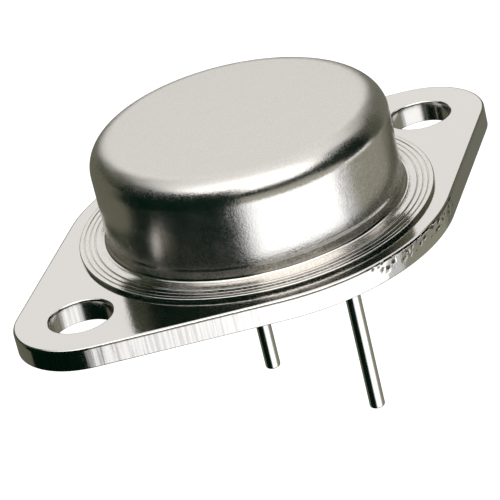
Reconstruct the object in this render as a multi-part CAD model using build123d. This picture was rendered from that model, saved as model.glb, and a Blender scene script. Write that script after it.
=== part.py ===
from build123d import *
import math
import os

# A power transistor in a sealed metal can: a thick steel header plate with two mounting holes, a
# drawn steel cap welded to its top, two leads sealed through the plate in glass, and inside the cap
# the chip on its copper spreader, joined to the leads by aluminium wires.
#
# The origin is on the cap's axis in the seating plane, the plate's underside. Z points up through
# the cap, X runs along the line of the mounting holes, and the leads point down. All sizes are mm.

# Header plate. The interface that a heat sink is drilled to is the hole spacing and the hole radius.
hole_spacing = 30.15
mounting_hole_radius = 2.05
end_metal = 2.27  # metal between a mounting hole and the plate's rounded end
end_radius = 4.7
plate_thickness = 1.5
plate_edge_round = 0.2  # roll-over that the punch leaves on the top edges

# Cap, drawn from one sheet, with a flange that is welded down on the plate
hole_to_flange = 1.175  # plate left free between a mounting hole and the flange
flange_width = 1.9  # from the cap's wall to the flange's edge
flange_to_plate_edge = 1.25
flange_rim_height = 0.25  # the flange is coined thinner towards its edge
flange_edge_round = 0.08
flange_groove_insets = (0.37, 0.72, 1.08)  # each groove's distance in from the flange's edge
flange_groove_radius = 0.06
cap_height = 7.0  # above the plate
cap_sheet = 0.4
cap_top_round = 1.7
cap_foot_round = 0.25
cap_shoulder_height = 1.12  # the sizing step on the wall, above the plate
cap_shoulder_depth = 0.06
cap_shoulder_run = 0.12

# Leads and their glass seals
lead_pitch = 10.7
lead_offset = 2.1  # the leads' line is off the cap's axis, so the part fits only one way round
lead_radius = 0.52
lead_length = 13.0  # below the seating plane
lead_tip_round = 0.15
lead_plating = 0.01  # put on after the glass, so only on the wire below the plate
lead_post_height = 1.9  # above the plate, to the top of the head
lead_head_radius = 0.9
lead_head_thickness = 0.4
seal_radius = 1.6
seal_recess = 0.1  # the glass stops short of both faces of the plate

# Chip and what it sits on
spreader_centre = -1.5  # along X, so that the spreader clears the leads' posts
spreader_length = 9.0
spreader_to_seal = 0.45
spreader_thickness = 1.0
spreader_corner_round = 0.5
solder_thickness = 0.1
solder_border = 0.2  # the solder stands in from the edge of the copper, and out from the chip
chip_size = 4.2
chip_thickness = 0.25

# Bond wires
wire_radius = 0.15
wire_rise = 1.1  # above the higher of its two ends
wire_foot_length = 0.8
wire_foot_width = 0.45
wire_foot_height = 0.2
wire_bend_radius = 0.6
wire_gap = 0.8  # between the two emitter wires' feet on the lead
pad_inset = 1.15  # from the chip's edge to the middle of a wire's foot

# Worked out from the sizes above
end_centre = hole_spacing / 2 + mounting_hole_radius + end_metal - end_radius
flange_radius = hole_spacing / 2 - mounting_hole_radius - hole_to_flange
cap_radius = flange_radius - flange_width
middle_radius = flange_radius + flange_to_plate_edge
cap_top = plate_thickness + cap_height
lead_top = plate_thickness + lead_post_height
spreader_width = lead_pitch - 2 * seal_radius - 2 * spreader_to_seal
spreader_base = plate_thickness + solder_thickness
chip_base = spreader_base + spreader_thickness + solder_thickness
chip_top = chip_base + chip_thickness


def plate_outline():
    """Two rounded ends and two broad middle arcs, joined by lines tangent to both."""
    turn = math.acos((middle_radius - end_radius) / end_centre)
    across, along = math.sin(turn), math.cos(turn)
    middle_x, middle_y = middle_radius * along, middle_radius * across
    end_x, end_y = end_centre + end_radius * along, end_radius * across
    tip_x = end_centre + end_radius
    edges = [
        ThreePointArc((middle_x, middle_y), (0, middle_radius), (-middle_x, middle_y)),
        Line((-middle_x, middle_y), (-end_x, end_y)),
        ThreePointArc((-end_x, end_y), (-tip_x, 0), (-end_x, -end_y)),
        Line((-end_x, -end_y), (-middle_x, -middle_y)),
        ThreePointArc((-middle_x, -middle_y), (0, -middle_radius), (middle_x, -middle_y)),
        Line((middle_x, -middle_y), (end_x, -end_y)),
        ThreePointArc((end_x, -end_y), (tip_x, 0), (end_x, end_y)),
        Line((end_x, end_y), (middle_x, middle_y)),
    ]
    return make_face(edges)


def header_plate():
    """The stamped plate, with its roll-over on the upper edges and its four holes."""
    plate = extrude(plate_outline(), plate_thickness)
    for side in (-1, 1):
        plate -= Pos(side * hole_spacing / 2, 0, 0) * bore(mounting_hole_radius)
    plate = fillet(plate.edges().group_by(Axis.Z)[-1], plate_edge_round)
    for side in (-1, 1):
        plate -= Pos(lead_offset, side * lead_pitch / 2, 0) * bore(seal_radius)
    return plate


def bore(radius):
    """The cutter for a hole right through the plate."""
    return Cylinder(radius, plate_thickness, align=(Align.CENTER, Align.CENTER, Align.MIN))


def flange_top(radius):
    """Height of the flange's upper face, which falls from the sheet's thickness to the rim's."""
    start = cap_radius + cap_foot_round
    fall = (cap_sheet - flange_rim_height) * (radius - start) / (flange_radius - start)
    return plate_thickness + cap_sheet - fall


def cap():
    """The drawn cap: flat top, wall with a sizing step near its foot, and a grooved flange."""
    inner = cap_radius - cap_sheet
    base = plate_thickness
    step = cap_radius - cap_shoulder_depth
    step_low = base + cap_shoulder_height
    step_high = step_low + cap_shoulder_run
    crown = step - cap_top_round
    inner_crown = cap_top_round - cap_sheet + cap_shoulder_depth
    hip = cap_top - cap_top_round
    inner_hip = cap_top - cap_sheet - inner_crown
    foot = base + cap_sheet + cap_foot_round
    bend = cap_foot_round + cap_sheet
    rim_in = flange_radius - flange_edge_round
    rim_top = flange_top(rim_in)
    corner = math.sqrt(0.5)
    profile = [
        Line((inner + bend, base), (flange_radius, base)),
        Line((flange_radius, base), (flange_radius, rim_top - flange_edge_round)),
        ThreePointArc(
            (flange_radius, rim_top - flange_edge_round),
            (rim_in + corner * flange_edge_round, rim_top - (1 - corner) * flange_edge_round),
            (rim_in, rim_top),
        ),
        Line((rim_in, rim_top), (cap_radius + cap_foot_round, base + cap_sheet)),
        ThreePointArc(
            (cap_radius + cap_foot_round, base + cap_sheet),
            (cap_radius + (1 - corner) * cap_foot_round, foot - corner * cap_foot_round),
            (cap_radius, foot),
        ),
        Line((cap_radius, foot), (cap_radius, step_low)),
        Line((cap_radius, step_low), (step, step_high)),
        Line((step, step_high), (step, hip)),
        ThreePointArc(
            (step, hip),
            (crown + corner * cap_top_round, hip + corner * cap_top_round),
            (crown, cap_top),
        ),
        Line((crown, cap_top), (0, cap_top)),
        Line((0, cap_top), (0, cap_top - cap_sheet)),
        Line((0, cap_top - cap_sheet), (inner - inner_crown, cap_top - cap_sheet)),
        ThreePointArc(
            (inner - inner_crown, cap_top - cap_sheet),
            (inner - (1 - corner) * inner_crown, inner_hip + corner * inner_crown),
            (inner, inner_hip),
        ),
        Line((inner, inner_hip), (inner, base + bend)),
        ThreePointArc(
            (inner, base + bend),
            (inner + (1 - corner) * bend, base + (1 - corner) * bend),
            (inner + bend, base),
        ),
    ]
    shell = revolve(Plane.XZ * make_face(profile), Axis.Z)
    for inset in flange_groove_insets:
        radius = flange_radius - inset
        shell -= Pos(0, 0, flange_top(radius)) * Torus(radius, flange_groove_radius)
    return shell


def lead(side):
    """One round lead with a headed top for the bond wires and a rounded tip."""
    upright = (Align.CENTER, Align.CENTER, Align.MIN)
    pin = Pos(0, 0, -lead_length) * Cylinder(lead_radius, lead_length, align=upright)
    pin = fillet(pin.edges().group_by(Axis.Z)[0], lead_tip_round)
    pin += Cylinder(lead_radius - lead_plating, lead_top, align=upright)
    head = Cylinder(lead_head_radius, lead_head_thickness, align=upright)
    pin += Pos(0, 0, lead_top - lead_head_thickness) * head
    return Pos(lead_offset, side * lead_pitch / 2, 0) * pin


def seal(side):
    """The glass bead that holds a lead in its hole and keeps it insulated from the plate."""
    upright = (Align.CENTER, Align.CENTER, Align.MIN)
    height = plate_thickness - 2 * seal_recess
    bead = Cylinder(seal_radius, height, align=upright)
    bead -= Cylinder(lead_radius - lead_plating, height, align=upright)
    return Pos(lead_offset, side * lead_pitch / 2, seal_recess) * bead


def slab(length, width, thickness, base):
    """A flat layer of the stack under the chip, centred on the spreader."""
    upright = (Align.CENTER, Align.CENTER, Align.MIN)
    return Pos(spreader_centre, 0, base) * Box(length, width, thickness, align=upright)


def heat_spreader():
    """The copper block that takes the chip's heat down into the plate."""
    block = slab(spreader_length, spreader_width, spreader_thickness, spreader_base)
    return fillet(block.edges().filter_by(Axis.Z), spreader_corner_round)


def spreader_solder():
    """The solder between the plate and the copper."""
    inset = 2 * solder_border
    return slab(spreader_length - inset, spreader_width - inset, solder_thickness, plate_thickness)


def chip_solder():
    """The solder between the copper and the chip."""
    size = chip_size + 2 * solder_border
    return slab(size, size, solder_thickness, chip_base - solder_thickness)


def chip():
    """The silicon chip."""
    return slab(chip_size, chip_size, chip_thickness, chip_base)


def wire(pad_x, pad_y, lead_x, lead_y):
    """A bond wire: a squashed foot on the chip, a rounded arch, and a squashed foot on the lead."""
    upright = (Align.CENTER, Align.CENTER, Align.MIN)
    foot = Box(wire_foot_width, wire_foot_length, wire_foot_height, align=upright)
    arch_top = max(chip_top, lead_top) + wire_rise
    sunk = wire_foot_height / 2
    route = FilletPolyline(
        (pad_x, pad_y, chip_top + sunk),
        (pad_x, pad_y, arch_top),
        (lead_x, lead_y, arch_top),
        (lead_x, lead_y, lead_top + sunk),
        radius=wire_bend_radius,
    )
    arch = sweep(Plane(origin=route @ 0, z_dir=route % 0) * Circle(wire_radius), path=route)
    return arch + Pos(pad_x, pad_y, chip_top) * foot + Pos(lead_x, lead_y, lead_top) * foot


def emitter_wire(side):
    """One of the two wires that share the emitter's current."""
    pad = chip_size / 2 - pad_inset
    return wire(spreader_centre + side * pad, pad, lead_offset + side * wire_gap / 2, lead_pitch / 2)


def base_wire():
    """The single wire to the base."""
    pad = chip_size / 2 - pad_inset
    return wire(spreader_centre, -pad, lead_offset, -lead_pitch / 2)


parts = {
    "header_plate": header_plate(),
    "emitter_seal": seal(1),
    "base_seal": seal(-1),
    "emitter_lead": lead(1),
    "base_lead": lead(-1),
    "spreader_solder": spreader_solder(),
    "heat_spreader": heat_spreader(),
    "chip_solder": chip_solder(),
    "chip": chip(),
    "emitter_wire_1": emitter_wire(-1),
    "emitter_wire_2": emitter_wire(1),
    "base_wire": base_wire(),
    "cap": cap(),
}

os.makedirs("parts", exist_ok=True)
for name, solid in parts.items():
    export_step(solid, f"parts/{name}.step")
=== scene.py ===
import math

import bmesh
import bpy
from mathutils import Matrix, Vector, noise


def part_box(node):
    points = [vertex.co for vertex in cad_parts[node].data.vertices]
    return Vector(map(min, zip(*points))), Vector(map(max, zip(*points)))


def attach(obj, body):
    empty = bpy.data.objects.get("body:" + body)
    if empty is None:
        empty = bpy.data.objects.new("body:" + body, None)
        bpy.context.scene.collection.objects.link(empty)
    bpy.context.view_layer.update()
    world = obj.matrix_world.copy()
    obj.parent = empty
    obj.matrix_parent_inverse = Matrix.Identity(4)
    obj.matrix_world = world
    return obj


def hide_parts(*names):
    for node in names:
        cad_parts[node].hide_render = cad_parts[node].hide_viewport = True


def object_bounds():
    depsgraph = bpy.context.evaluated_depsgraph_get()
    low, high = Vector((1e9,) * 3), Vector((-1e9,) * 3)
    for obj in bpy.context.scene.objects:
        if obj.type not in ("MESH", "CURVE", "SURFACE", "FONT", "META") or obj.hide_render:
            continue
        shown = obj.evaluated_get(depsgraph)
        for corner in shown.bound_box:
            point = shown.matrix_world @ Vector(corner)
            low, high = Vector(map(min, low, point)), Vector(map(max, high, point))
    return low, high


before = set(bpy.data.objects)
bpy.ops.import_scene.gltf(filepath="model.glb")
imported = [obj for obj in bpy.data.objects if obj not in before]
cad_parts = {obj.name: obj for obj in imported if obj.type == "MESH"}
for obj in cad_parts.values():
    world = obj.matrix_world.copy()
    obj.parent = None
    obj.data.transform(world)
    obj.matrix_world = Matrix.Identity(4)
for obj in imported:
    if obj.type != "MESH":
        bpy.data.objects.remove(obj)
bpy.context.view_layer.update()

# ---------------------------------------------------------------------------------------------
# Camera and studio. A long lens looks down on the front of the part, turned a little on its own
# axis. The part hangs clear of a white table under an even white sky.
# ---------------------------------------------------------------------------------------------
MM = 0.001
CAMERA_TURN = math.radians(-34.95)  # from looking along +Y
CAMERA_RISE = math.radians(26.35)
CAMERA_ROLL = math.radians(-13.75)
CAMERA_DISTANCE = 213.2 * MM
CAMERA_TARGET = Vector((4.39, 8.05, -5.64)) * MM
LENS = 222.4
TABLE_DROP = 300 * MM  # below the tips of the leads
TABLE_SIZE = 6.0
CARD_REACH = 150 * MM

camera_data = bpy.data.cameras.new("camera")
camera_data.lens = LENS
camera_data.clip_start = 0.01
camera = bpy.data.objects.new("camera", camera_data)
bpy.context.scene.collection.objects.link(camera)
bpy.context.scene.camera = camera
aim = Matrix.Rotation(CAMERA_TURN, 4, "Z") @ Matrix.Rotation(math.pi / 2 - CAMERA_RISE, 4, "X")
aim = aim @ Matrix.Rotation(CAMERA_ROLL, 4, "Z")
camera.matrix_world = Matrix.Translation(CAMERA_TARGET + aim.to_3x3() @ Vector((0, 0, CAMERA_DISTANCE))) @ aim
bpy.context.scene.view_settings.view_transform = "Standard"


def colour(code):
    """An sRGB hex colour as the linear colour that a shader takes."""
    parts = [int(code[i:i + 2], 16) / 255 for i in (1, 3, 5)]
    return [p / 12.92 if p <= 0.04045 else ((p + 0.055) / 1.055) ** 2.4 for p in parts] + [1.0]


def add(tree, kind, inputs=None, **settings):
    """Adds a node. An input takes a plain value, or another node's socket to link from."""
    node = tree.nodes.new(kind)
    for name, value in settings.items():
        setattr(node, name, value)
    for name, value in (inputs or {}).items():
        if isinstance(value, bpy.types.NodeSocket):
            tree.links.new(value, node.inputs[name])
        else:
            node.inputs[name].default_value = value
    return node


def new_material(name):
    """An empty material and its node tree."""
    material = bpy.data.materials.new(name)
    material.use_nodes = True
    material.node_tree.nodes.clear()
    return material, material.node_tree


def finish_material(tree, shader):
    """Joins the last shader to the material's output."""
    add(tree, "ShaderNodeOutputMaterial", {"Surface": shader})


def new_object(name, mesh, material):
    """A mesh object with one material."""
    piece = bpy.data.objects.new(name, mesh)
    bpy.context.scene.collection.objects.link(piece)
    mesh.materials.append(material)
    return piece


world = bpy.data.worlds.new("white_sky")
bpy.context.scene.world = world
world.use_nodes = True
world.node_tree.nodes["Background"].inputs["Color"].default_value = colour("#FFFFFF")
world.node_tree.nodes["Background"].inputs["Strength"].default_value = 1.0

# The table is white laminate. It adds a little of its own white wherever it is seen or mirrored.
table_white, tree = new_material("white_table")
path = add(tree, "ShaderNodeLightPath")
seen = add(tree, "ShaderNodeMath", {0: path.outputs["Is Camera Ray"], 1: path.outputs["Is Glossy Ray"]}, operation="MAXIMUM")
seen = add(tree, "ShaderNodeMath", {0: seen.outputs[0], 1: path.outputs["Is Transmission Ray"]}, operation="MAXIMUM")
glow = add(tree, "ShaderNodeMath", {0: seen.outputs[0], 1: 0.3}, operation="MULTIPLY")
paint = add(tree, "ShaderNodeBsdfDiffuse", {"Color": colour("#F4F4F4")})
shine = add(tree, "ShaderNodeEmission", {"Color": colour("#FFFFFF"), "Strength": glow.outputs[0]})
both = add(tree, "ShaderNodeAddShader", {0: paint.outputs[0], 1: shine.outputs[0]})
finish_material(tree, both.outputs[0])
table_mesh = bpy.data.meshes.new("table")
half = TABLE_SIZE / 2
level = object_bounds()[0][2] - TABLE_DROP
table_mesh.from_pydata([(-half, -half, level), (half, -half, level), (half, half, level), (-half, half, level)], [], [(0, 1, 2, 3)])
table = new_object("table", table_mesh, table_white)

lamp_data = bpy.data.lights.new("soft_lamp", "AREA")
lamp_data.size = 0.4
lamp_data.energy = 1.2
lamp = bpy.data.objects.new("soft_lamp", lamp_data)
lamp.location = (-0.2, -0.15, 0.6)
lamp.rotation_euler = Vector(lamp.location).to_track_quat("Z", "Y").to_euler()
lamp.visible_glossy = False
bpy.context.scene.collection.objects.link(lamp)


def card(name, turns, rises, code, strength=1.0):
    """A studio card, part of a big sphere round the part, which only shiny metal sees.

    turns are degrees round from the camera, positive to its right; rises are degrees above level."""
    steps = 24
    points, faces = [], []
    for i in range(steps + 1):
        for j in range(steps + 1):
            turn = math.radians(turns[0] + (turns[1] - turns[0]) * i / steps - 90) + CAMERA_TURN
            rise = math.radians(rises[0] + (rises[1] - rises[0]) * j / steps)
            flat = CARD_REACH * math.cos(rise)
            points.append((flat * math.cos(turn), flat * math.sin(turn), CARD_REACH * math.sin(rise)))
            if i < steps and j < steps:
                corner = i * (steps + 1) + j
                faces.append((corner, corner + 1, corner + steps + 2, corner + steps + 1))
    mesh = bpy.data.meshes.new(name)
    mesh.from_pydata(points, [], faces)
    material, tree = new_material(name)
    finish_material(tree, add(tree, "ShaderNodeEmission", {"Color": colour(code), "Strength": strength}).outputs[0])
    screen = new_object(name, mesh, material)
    screen.visible_camera = False
    screen.visible_diffuse = False
    screen.visible_transmission = False
    screen.visible_shadow = False


card("dark_band_left", (-112, -10), (-12, 51), "#031B11")
card("dark_band_right", (-10, 50), (14, 34), "#031B11")
card("dark_wedge", (50, 68), (6, 41), "#031B11")
card("dark_corner", (68, 102), (-6, 50), "#08190F")
card("olive_corner", (102, 124), (-12, 40), "#55574B")
card("grey_band", (-10, 68), (-12, 6), "#B4B3A8")
card("grey_band_top", (-10, 50), (6, 14), "#A3A297")
card("dark_left", (-104, -15), (-88, -12), "#03170E")
card("dark_low", (-15, 76), (-88, -64), "#1C231D")
card("olive_side_left", (-154, -112), (15, 51), "#454A3D")
card("olive_side_right", (124, 156), (15, 44), "#66685B")
card("olive_right", (76, 125), (-88, -12), "#98988A")
card("olive_back", (124, 180), (-88, 15), "#74756A")
card("olive_left", (-180, -104), (-88, 15), "#6A6B5D")
card("soft_box_low", (-2, 64), (-64, -12), "#F8FBFF", 1.8)
card("soft_box_left_edge", (-15, -9), (-64, -12), "#F8FBFF", 0.5)
card("soft_box_left", (-9, -2), (-64, -12), "#F8FBFF", 1.4)
card("soft_box_right_edge", (64, 76), (-64, -12), "#F8FBFF", 0.75)
card("soft_box_high_left", (-80, -10), (51, 88), "#FFFFFF", 2.0)
card("soft_box_high_middle", (-10, 50), (34, 88), "#FFFFFF", 2.0)
card("soft_box_high_right", (50, 68), (41, 88), "#FFFFFF", 2.0)

# ---------------------------------------------------------------------------------------------
# Header plate: a lozenge punched from 1.5 mm steel strip, barrel finished and nickel plated. The
# punch rolls its upper edges over and leaves upright scores and a torn patch on the sheared edge.
# ---------------------------------------------------------------------------------------------
plate_low, plate_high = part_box("header_plate")
PLATE_TOP = plate_high.z
HOLE_X = 15.075 * MM
HOLE_RADIUS = 2.05 * MM
END_RADIUS = 4.7 * MM
MIDDLE_RADIUS = plate_high.y
END_CENTRE = plate_high.x - END_RADIUS
ROLL_OVER = 0.2 * MM
LOWER_ROUND = 0.13 * MM
SEAL_RADIUS = 1.6 * MM
LEAD_X = 2.1 * MM
LEAD_Y = 5.35 * MM
EDGE_STEP = 0.09 * MM
SCORE_DEPTH = 0.012 * MM
TEAR_DEPTH = 0.065 * MM
TEAR_FROM, TEAR_TO = math.radians(-100), math.radians(-52)
RIM_STEPS = 120
PUNCHED_DULL = 0.2


def arc(centre_x, centre_z, radius, start, end, steps):
    """Points along an arc, given in degrees, as (x, z) pairs."""
    angles = [math.radians(start + (end - start) * i / steps) for i in range(steps + 1)]
    return [(centre_x + radius * math.cos(a), centre_z + radius * math.sin(a)) for a in angles]


def lozenge():
    """Points on the plate's outline with their outward normals, all the way round."""
    turn = math.acos((MIDDLE_RADIUS - END_RADIUS) / END_CENTRE)
    arcs = [
        (END_CENTRE, END_RADIUS, -turn, turn),
        (0, MIDDLE_RADIUS, turn, math.pi - turn),
        (-END_CENTRE, END_RADIUS, math.pi - turn, math.pi + turn),
        (0, MIDDLE_RADIUS, math.pi + turn, 2 * math.pi - turn),
    ]
    outline = []
    for index, (centre, radius, start, end) in enumerate(arcs):
        steps = round(radius * (end - start) / EDGE_STEP)
        for i in range(steps):
            a = start + (end - start) * i / steps
            normal = Vector((math.cos(a), math.sin(a), 0))
            outline.append((Vector((centre, 0, 0)) + normal * radius, normal))
        normal = Vector((math.cos(end), math.sin(end), 0))
        here = Vector((centre, 0, 0)) + normal * radius
        centre, radius = arcs[(index + 1) % 4][:2]
        there = Vector((centre, 0, 0)) + normal * radius
        steps = round((there - here).length / EDGE_STEP)
        outline += [(here.lerp(there, i / steps), normal) for i in range(steps)]
    return outline


def scored(point, z):
    """How deep the punch has scored the edge at this place, from 0 to 1."""
    x, y = point.x / MM, point.y / MM
    return 0.5 + 0.5 * noise.noise(Vector((x * 2.6, y * 2.6, z / MM * 0.35)))


def torn(point, z):
    """How deep the metal has torn out at this place, from 0 to 1: only in one patch, high up."""
    x, y, up = point.x / MM, point.y / MM, z / PLATE_TOP
    along = (math.atan2(y, x) - TEAR_FROM) / (TEAR_TO - TEAR_FROM)
    if not 0 < along < 1 or up < 0.35:
        return 0.0
    chips = noise.noise(Vector((x * 2.7 + 7, y * 2.7, z / MM * 4.5)))
    chips += 0.6 * noise.noise(Vector((x * 6, y * 6, z / MM * 9 + 3)))
    fade = min(1.0, 3 * math.sin(math.pi * along)) * min(1.0, (up - 0.35) * 5)
    return min(1.0, max(0.0, chips - 0.1) * 2.2) * fade


def add_ring(shape, points):
    """A closed ring of vertices."""
    return [shape.verts.new(p) for p in points]


def bridge(shape, first, second):
    """Faces between two rings of the same count."""
    for i in range(len(first)):
        j = (i + 1) % len(first)
        shape.faces.new((first[i], first[j], second[j], second[i]))


def fill(shape, rings):
    """A flat face inside the first ring, with the other rings as holes."""
    edges = []
    for ring in rings:
        edges += [shape.edges.get((ring[i - 1], ring[i])) or shape.edges.new((ring[i - 1], ring[i])) for i in range(len(ring))]
    bmesh.ops.triangle_fill(shape, use_beauty=True, edges=edges)


def close_mesh(shape, name):
    """The finished mesh, with smooth curves and crisp corners."""
    bmesh.ops.recalc_face_normals(shape, faces=shape.faces)
    mesh = bpy.data.meshes.new(name)
    shape.to_mesh(mesh)
    shape.free()
    mesh.shade_smooth()
    mesh.set_sharp_from_angle(angle=math.radians(32))
    return mesh


def circle(centre, radius, z):
    """Points round a hole."""
    angles = [2 * math.pi * i / RIM_STEPS for i in range(RIM_STEPS)]
    return [(centre[0] + radius * math.cos(a), centre[1] + radius * math.sin(a), z) for a in angles]


shape = bmesh.new()
tear_layer = shape.verts.layers.float.new("torn")
outline = lozenge()
edge = [(0.4 * MM, 0)] + [(LOWER_ROUND - x, LOWER_ROUND + z) for x, z in arc(0, 0, LOWER_ROUND, -90, 0, 5)]
edge += [(0, LOWER_ROUND + (PLATE_TOP - ROLL_OVER - LOWER_ROUND) * i / 12) for i in range(1, 13)]
edge += [(ROLL_OVER - x, PLATE_TOP - ROLL_OVER + z) for x, z in arc(0, 0, ROLL_OVER, 15, 90, 5)]
edge += [(ROLL_OVER + 0.04 * MM, PLATE_TOP), (ROLL_OVER + 0.3 * MM, PLATE_TOP)]
rings = []
for inset, z in edge:
    side_wall = LOWER_ROUND <= z <= PLATE_TOP - ROLL_OVER * 0.5 and inset < ROLL_OVER
    ring = []
    for point, normal in outline:
        tear = torn(point, z) if side_wall else 0.0
        depth = inset + TEAR_DEPTH * tear + (SCORE_DEPTH * scored(point, z) if side_wall else 0.0)
        vertex = shape.verts.new(point - normal * depth + Vector((0, 0, z)))
        vertex[tear_layer] = tear
        ring.append(vertex)
    rings.append(ring)
for lower, upper in zip(rings, rings[1:]):
    bridge(shape, lower, upper)
top_rings, bottom_rings = [rings[-1]], [rings[0]]
hole = [(0.3 * MM, 0), (0.05 * MM, 0), (0, 0.05 * MM), (0, PLATE_TOP * 0.5), (0, PLATE_TOP - ROLL_OVER)]
hole += [(ROLL_OVER - x, PLATE_TOP - ROLL_OVER + z) for x, z in arc(0, 0, ROLL_OVER, 15, 90, 5)]
hole += [(ROLL_OVER + 0.04 * MM, PLATE_TOP), (ROLL_OVER + 0.3 * MM, PLATE_TOP)]
for side in (-1, 1):
    rims = [add_ring(shape, circle((side * HOLE_X, 0), HOLE_RADIUS + out, z)) for out, z in hole]
    for vertex in [v for rim in rims[2:5] for v in rim]:
        vertex[tear_layer] = PUNCHED_DULL
    for lower, upper in zip(rims, rims[1:]):
        bridge(shape, lower, upper)
    top_rings.append(rims[-1])
    bottom_rings.append(rims[0])
for side in (-1, 1):
    low = add_ring(shape, circle((LEAD_X, side * LEAD_Y), SEAL_RADIUS, 0))
    high = add_ring(shape, circle((LEAD_X, side * LEAD_Y), SEAL_RADIUS, PLATE_TOP))
    bridge(shape, low, high)
    top_rings.append(high)
    bottom_rings.append(low)
fill(shape, top_rings)
fill(shape, bottom_rings)
plate_mesh = close_mesh(shape, "plate")

# Nickel over barrel-finished steel: a warm, even grey that mirrors dark things softly and shows
# fine pits. The sheared edge is brighter, with upright scores.
NICKEL = "#DCD8D3"
GRAIN = 0.14 * MM
PIT_SPACING = 0.55 * MM
SCORE_SPACING = 0.17 * MM

plate_nickel, tree = new_material("nickel_plated_steel_plate")
place = add(tree, "ShaderNodeTexCoord").outputs["Object"]
grain = add(tree, "ShaderNodeTexNoise", {"Vector": place, "Scale": 1 / GRAIN, "Detail": 3.0})
pits = add(tree, "ShaderNodeTexVoronoi", {"Vector": place, "Scale": 1 / PIT_SPACING})
pit = add(tree, "ShaderNodeMapRange", {"Value": pits.outputs["Distance"], "From Min": 0.05, "From Max": 0.16, "To Min": 0.0, "To Max": 1.0})
upright = add(tree, "ShaderNodeMapping", {"Vector": place, "Scale": (1 / SCORE_SPACING, 1 / SCORE_SPACING, 0.03 / SCORE_SPACING)})
scores = add(tree, "ShaderNodeTexNoise", {"Vector": upright.outputs[0], "Scale": 1.0, "Detail": 2.0})
facing = add(tree, "ShaderNodeSeparateXYZ", {"Vector": add(tree, "ShaderNodeNewGeometry").outputs["Normal"]})
lying = add(tree, "ShaderNodeMath", {0: facing.outputs["Z"]}, operation="ABSOLUTE")
flat = add(tree, "ShaderNodeMapRange", {"Value": lying.outputs[0], "From Min": 0.2, "From Max": 0.6})
relief = add(tree, "ShaderNodeMix", {"Factor": flat.outputs[0], "A": scores.outputs["Fac"], "B": grain.outputs["Fac"]})
pitted = add(tree, "ShaderNodeMath", {0: pit.outputs[0], 1: 0.6}, operation="MULTIPLY")
height = add(tree, "ShaderNodeMath", {0: relief.outputs[0], 1: pitted.outputs[0]}, operation="ADD")
bump = add(tree, "ShaderNodeBump", {"Height": height.outputs[0], "Strength": 0.5, "Distance": 0.005 * MM})
rough = add(tree, "ShaderNodeMapRange", {"Value": grain.outputs["Fac"], "From Min": 0.3, "From Max": 0.7, "To Min": 0.08, "To Max": 0.14})
# Torn chips are bare, dull steel. The deepest scores are coloured a darker grey, mostly on the plate's -X end.
tears = add(tree, "ShaderNodeAttribute", attribute_name="torn")
bared = add(tree, "ShaderNodeMapRange", {"Value": tears.outputs["Fac"], "From Min": 0.1, "From Max": 0.5})
ends = add(tree, "ShaderNodeMapRange", {
    "Value": add(tree, "ShaderNodeSeparateXYZ", {"Vector": place}).outputs["X"],
    "From Min": -12 * MM, "From Max": -5 * MM, "To Min": 1.0, "To Max": 0.07})
deep = add(tree, "ShaderNodeMapRange", {
    "Value": scores.outputs["Fac"], "From Min": 0.56, "From Max": 0.38, "To Min": 0.0, "To Max": 0.4})
upward = add(tree, "ShaderNodeMath", {0: 1.0, 1: flat.outputs[0]}, operation="SUBTRACT")
score_darkening = add(tree, "ShaderNodeMath", {0: deep.outputs[0], 1: upward.outputs[0]}, operation="MULTIPLY")
score_darkening = add(tree, "ShaderNodeMath", {0: score_darkening.outputs[0], 1: ends.outputs[0]}, operation="MULTIPLY")
score_darkened = add(tree, "ShaderNodeMix", {6: colour(NICKEL), 7: colour("#918F86"), 0: score_darkening.outputs[0]}, data_type="RGBA")
tone = add(tree, "ShaderNodeMix", {6: score_darkened.outputs[2], 7: colour("#66675D"), 0: bared.outputs[0]}, data_type="RGBA")
dull = add(tree, "ShaderNodeMath", {0: bared.outputs[0], 1: 0.3}, operation="MULTIPLY")
rough = add(tree, "ShaderNodeMath", {0: rough.outputs[0], 1: dull.outputs[0]}, operation="ADD")
metal = add(tree, "ShaderNodeBsdfPrincipled", {
    "Base Color": tone.outputs[2], "Metallic": 1.0, "Roughness": rough.outputs[0], "Normal": bump.outputs[0]})
finish_material(tree, metal.outputs[0])
plate = new_object("plate", plate_mesh, plate_nickel)
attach(plate, "root")
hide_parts("header_plate")

# ---------------------------------------------------------------------------------------------
# Glass seals: a bead of dark sealing glass melted in each lead hole. It creeps up the lead and the
# wall of the hole as it cools, so both of its faces are dished.
# ---------------------------------------------------------------------------------------------
seal_low, seal_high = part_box("emitter_seal")
LEAD_RADIUS = 0.52 * MM
CREEP = 0.06 * MM
LATHE_STEPS = 96


def lathe(name, profile, centre, steps=LATHE_STEPS, closed=False):
    """A mesh turned about an upright axis from (radius, height) pairs; closed makes a hollow ring."""
    shape = bmesh.new()
    rings = []
    for radius, z in profile:
        if radius == 0:
            rings.append([shape.verts.new((centre[0], centre[1], z))])
            continue
        angles = [2 * math.pi * i / steps for i in range(steps)]
        rings.append(add_ring(shape, [(centre[0] + radius * math.cos(a), centre[1] + radius * math.sin(a), z) for a in angles]))
    pairs = list(zip(rings, rings[1:])) + ([(rings[-1], rings[0])] if closed else [])
    for first, second in pairs:
        if len(first) == len(second) == 1:
            continue
        if len(first) == len(second):
            bridge(shape, first, second)
            continue
        tip, ring = (first[0], second) if len(first) == 1 else (second[0], first)
        for i in range(len(ring)):
            shape.faces.new((ring[i - 1], ring[i], tip))
    return close_mesh(shape, name)


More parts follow.
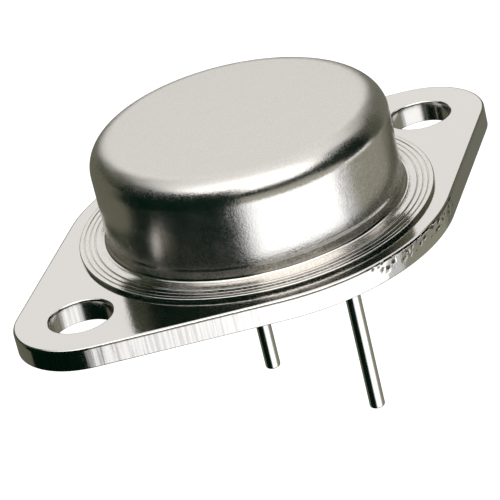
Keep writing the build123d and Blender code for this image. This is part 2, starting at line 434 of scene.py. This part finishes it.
seal_glass, tree = new_material("dark_green_sealing_glass")
place = add(tree, "ShaderNodeTexCoord").outputs["Object"]
bubbles = add(tree, "ShaderNodeTexVoronoi", {"Vector": place, "Scale": 1 / (0.25 * MM)})
cloud = add(tree, "ShaderNodeTexNoise", {"Vector": place, "Scale": 1 / (0.8 * MM), "Detail": 3.0})
tint = add(tree, "ShaderNodeValToRGB", {"Fac": cloud.outputs["Fac"]})
tint.color_ramp.elements[0].color = colour("#0E1A17")
tint.color_ramp.elements[1].color = colour("#2B3F37")
dimple = add(tree, "ShaderNodeBump", {"Height": bubbles.outputs["Distance"], "Strength": 0.4, "Distance": 0.02 * MM})
glass = add(tree, "ShaderNodeBsdfPrincipled", {
    "Base Color": tint.outputs[0], "Roughness": 0.12, "IOR": 1.52, "Normal": dimple.outputs[0]})
finish_material(tree, glass.outputs[0])
for side, lead_name in ((1, "emitter"), (-1, "base")):
    span = SEAL_RADIUS - LEAD_RADIUS
    dish = [(LEAD_RADIUS + span * t / 12, CREEP * abs(2 * t / 12 - 1) ** 3) for t in range(13)]
    profile = [(r, seal_low.z - rise) for r, rise in dish]
    profile += [(r, seal_high.z + rise) for r, rise in reversed(dish)]
    mesh = lathe(f"{lead_name}_glass", profile, (LEAD_X, side * LEAD_Y), closed=True)
    bead = new_object(f"{lead_name}_glass", mesh, seal_glass)
    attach(bead, "root")
    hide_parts(f"{lead_name}_seal")

# ---------------------------------------------------------------------------------------------
# Leads: straight 1 mm nickel-iron wire, headed at the top for the bond wires, cut and tumbled at
# the tip, then nickel plated with the plate. Drawing leaves faint lines along them.
# ---------------------------------------------------------------------------------------------
lead_low, lead_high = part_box("emitter_lead")
HEAD_RADIUS = 0.9 * MM
HEAD_THICKNESS = 0.4 * MM
TIP_ROUND = 0.15 * MM

lead_nickel, tree = new_material("nickel_plated_lead_wire")
place = add(tree, "ShaderNodeTexCoord").outputs["Object"]
drawn = add(tree, "ShaderNodeMapping", {"Vector": place, "Scale": (1 / (0.09 * MM), 1 / (0.09 * MM), 1 / (2.5 * MM))})
lines = add(tree, "ShaderNodeTexNoise", {"Vector": drawn.outputs[0], "Scale": 1.0, "Detail": 2.0})
bump = add(tree, "ShaderNodeBump", {"Height": lines.outputs["Fac"], "Strength": 0.4, "Distance": 0.006 * MM})
rough = add(tree, "ShaderNodeMapRange", {"Value": lines.outputs["Fac"], "To Min": 0.1, "To Max": 0.24})
metal = add(tree, "ShaderNodeBsdfPrincipled", {
    "Base Color": colour("#D6D3CC"), "Metallic": 1.0, "Roughness": rough.outputs[0], "Normal": bump.outputs[0]})
finish_material(tree, metal.outputs[0])
for side, lead_name in ((1, "emitter"), (-1, "base")):
    tip = [(LEAD_RADIUS - TIP_ROUND + x, lead_low.z + TIP_ROUND + z) for x, z in arc(0, 0, TIP_ROUND, -90, 0, 6)]
    shank = [(LEAD_RADIUS, lead_low.z + (lead_high.z - HEAD_THICKNESS - lead_low.z) * t) for t in (0.02, 0.5, 1)]
    profile = [(0, lead_low.z), (tip[0][0] * 0.9, lead_low.z)] + tip + shank
    profile += [(HEAD_RADIUS - 0.05 * MM, lead_high.z - HEAD_THICKNESS), (HEAD_RADIUS, lead_high.z - HEAD_THICKNESS + 0.05 * MM)]
    profile += [(HEAD_RADIUS, lead_high.z - 0.1 * MM), (HEAD_RADIUS - 0.1 * MM, lead_high.z), (0, lead_high.z)]
    pin = new_object(f"{lead_name}_pin", lathe(f"{lead_name}_pin", profile, (LEAD_X, side * LEAD_Y)), lead_nickel)
    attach(pin, "root")
    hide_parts(f"{lead_name}_lead")

# ---------------------------------------------------------------------------------------------
# Stack under the chip: a coined copper block soldered to the plate, and the silicon chip soldered
# to the copper. All of it is sealed in under the cap.
# ---------------------------------------------------------------------------------------------
finishes = (
    ("bare_copper", ("heat_spreader",), "#B87352", "#D39272", 1.0, 0.32, 0.5 * MM),
    ("tin_lead_solder", ("spreader_solder", "chip_solder"), "#84868A", "#A5A7AA", 1.0, 0.45, 0.3 * MM),
    ("metallised_silicon", ("chip",), "#3B3E47", "#5C606C", 0.6, 0.2, 0.2 * MM),
    ("bare_aluminium_wire", ("emitter_wire_1", "emitter_wire_2", "base_wire"), "#C9CBCE", "#DFE0E2", 1.0, 0.28, 0.15 * MM),
)
for name, nodes, dark, light, metallic, roughness, size in finishes:
    # Each is bare metal or silicon straight from its process, so its tone drifts softly over the surface.
    material, tree = new_material(name)
    place = add(tree, "ShaderNodeTexCoord").outputs["Object"]
    drift = add(tree, "ShaderNodeTexNoise", {"Vector": place, "Scale": 1 / size, "Detail": 4.0})
    tone = add(tree, "ShaderNodeValToRGB", {"Fac": drift.outputs["Fac"]})
    tone.color_ramp.elements[0].color = colour(dark)
    tone.color_ramp.elements[1].color = colour(light)
    bump = add(tree, "ShaderNodeBump", {"Height": drift.outputs["Fac"], "Strength": 0.5, "Distance": 0.02 * MM})
    bare = add(tree, "ShaderNodeBsdfPrincipled", {
        "Base Color": tone.outputs[0], "Metallic": metallic, "Roughness": roughness, "Normal": bump.outputs[0]})
    finish_material(tree, bare.outputs[0])
    for node_name in nodes:
        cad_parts[node_name].data.materials.clear()
        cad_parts[node_name].data.materials.append(material)

# ---------------------------------------------------------------------------------------------
# Cap: steel sheet drawn into a round can, sized near its foot, and welded down all round through
# its coined flange. It is nickel plated; the top is left matte and the wall is drawn smooth.
# ---------------------------------------------------------------------------------------------
cap_low, cap_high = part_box("cap")
FLANGE_RADIUS = cap_high.x
CAP_RADIUS = FLANGE_RADIUS - 1.9 * MM
CAP_TOP = cap_high.z
CAP_SHEET = 0.4 * MM
TOP_ROUND = 1.7 * MM
FOOT_ROUND = 0.25 * MM
SHOULDER = 1.12 * MM
SHOULDER_DEPTH = 0.06 * MM
SHOULDER_RUN = 0.12 * MM
RIM_HEIGHT = 0.25 * MM
RIM_ROUND = 0.08 * MM
GROOVE_INSETS = (0.37 * MM, 0.72 * MM, 1.08 * MM)
GROOVE_RADIUS = 0.06 * MM
CAP_STEPS = 360


def flange_top(radius):
    """Height of the coined flange, steepest by the wall, with three fine grooves near its edge."""
    start = CAP_RADIUS + FOOT_ROUND
    out = (radius - start) / (FLANGE_RADIUS - start)
    height = PLATE_TOP + RIM_HEIGHT + (CAP_SHEET - RIM_HEIGHT) * (1 - out) ** 3.5
    for inset in GROOVE_INSETS:
        off = abs(radius - (FLANGE_RADIUS - inset))
        if off < GROOVE_RADIUS:
            height -= math.sqrt(GROOVE_RADIUS ** 2 - off ** 2)
    return height


wall = CAP_RADIUS - SHOULDER_DEPTH
inner = CAP_RADIUS - CAP_SHEET
inner_round = TOP_ROUND - CAP_SHEET + SHOULDER_DEPTH
bend = FOOT_ROUND + CAP_SHEET
rim_in = FLANGE_RADIUS - RIM_ROUND
rim_z = flange_top(rim_in)
land_steps = 120
land = [rim_in + (CAP_RADIUS + FOOT_ROUND - rim_in) * i / land_steps for i in range(land_steps + 1)]
profile = [(FLANGE_RADIUS, PLATE_TOP)]
profile += [(rim_in + x, rim_z - RIM_ROUND + z) for x, z in arc(0, 0, RIM_ROUND, 0, 75, 4)]
profile += [(r, flange_top(r)) for r in land]
profile += arc(CAP_RADIUS + FOOT_ROUND, PLATE_TOP + CAP_SHEET + FOOT_ROUND, FOOT_ROUND, 262, 180, 8)
profile += [(CAP_RADIUS, PLATE_TOP + SHOULDER - 0.03 * MM), (CAP_RADIUS, PLATE_TOP + SHOULDER)]
profile += [(wall, PLATE_TOP + SHOULDER + SHOULDER_RUN), (wall, PLATE_TOP + SHOULDER + SHOULDER_RUN + 0.03 * MM)]
profile += [(wall, CAP_TOP - TOP_ROUND - 0.03 * MM)]
profile += arc(wall - TOP_ROUND, CAP_TOP - TOP_ROUND, TOP_ROUND, 0, 90, 24)
profile += [(wall - TOP_ROUND - 0.05 * MM, CAP_TOP), (0, CAP_TOP), (0, CAP_TOP - CAP_SHEET)]
profile += arc(inner - inner_round, CAP_TOP - CAP_SHEET - inner_round, inner_round, 90, 0, 12)
profile += arc(inner + bend, PLATE_TOP + bend, bend, 180, 270, 8)
cap_mesh = lathe("can", profile, (0, 0), CAP_STEPS, closed=True)

cap_nickel, tree = new_material("nickel_plated_drawn_steel")
place = add(tree, "ShaderNodeTexCoord").outputs["Object"]
grain = add(tree, "ShaderNodeTexNoise", {"Vector": place, "Scale": 1 / (0.12 * MM), "Detail": 3.0})
patches = add(tree, "ShaderNodeTexNoise", {"Vector": place, "Scale": 1 / (1.4 * MM), "Detail": 4.0})
height_up = add(tree, "ShaderNodeSeparateXYZ", {"Vector": place}).outputs["Z"]
matte = add(tree, "ShaderNodeMapRange", {
    "Value": height_up, "From Min": CAP_TOP - 1.0 * MM, "From Max": CAP_TOP - 0.05 * MM, "To Min": 0.21, "To Max": 0.38})
low = add(tree, "ShaderNodeMapRange", {
    "Value": height_up, "From Min": PLATE_TOP + CAP_SHEET, "From Max": PLATE_TOP + CAP_SHEET + FOOT_ROUND, "To Min": -0.11, "To Max": 0.0})
drift = add(tree, "ShaderNodeMapRange", {"Value": patches.outputs["Fac"], "From Min": 0.3, "From Max": 0.7, "To Min": -0.03, "To Max": 0.03})
rough = add(tree, "ShaderNodeMath", {0: matte.outputs[0], 1: drift.outputs[0]}, operation="ADD")
rough = add(tree, "ShaderNodeMath", {0: rough.outputs[0], 1: low.outputs[0]}, operation="ADD")
speckle = add(tree, "ShaderNodeMapRange", {
    "Value": grain.outputs["Fac"], "From Min": 0.35, "From Max": 0.65, "To Min": -0.04, "To Max": 0.04})
rough = add(tree, "ShaderNodeMath", {0: rough.outputs[0], 1: speckle.outputs[0]}, operation="ADD")
bump = add(tree, "ShaderNodeBump", {"Height": grain.outputs["Fac"], "Strength": 0.6, "Distance": 0.011 * MM})
mottle = add(tree, "ShaderNodeMix", {"Factor": 0.2, "A": grain.outputs["Fac"], "B": patches.outputs["Fac"]})
tone = add(tree, "ShaderNodeValToRGB", {"Fac": mottle.outputs[0]})
tone.color_ramp.elements[0].position = 0.3
tone.color_ramp.elements[0].color = colour("#D2CDC7")
tone.color_ramp.elements[1].position = 0.7
tone.color_ramp.elements[1].color = colour("#E6E2DD")
metal = add(tree, "ShaderNodeBsdfPrincipled", {
    "Base Color": tone.outputs[0], "Metallic": 1.0, "Roughness": rough.outputs[0], "Normal": bump.outputs[0]})
finish_material(tree, metal.outputs[0])
can = new_object("can", cap_mesh, cap_nickel)
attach(can, "root")
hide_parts("cap")
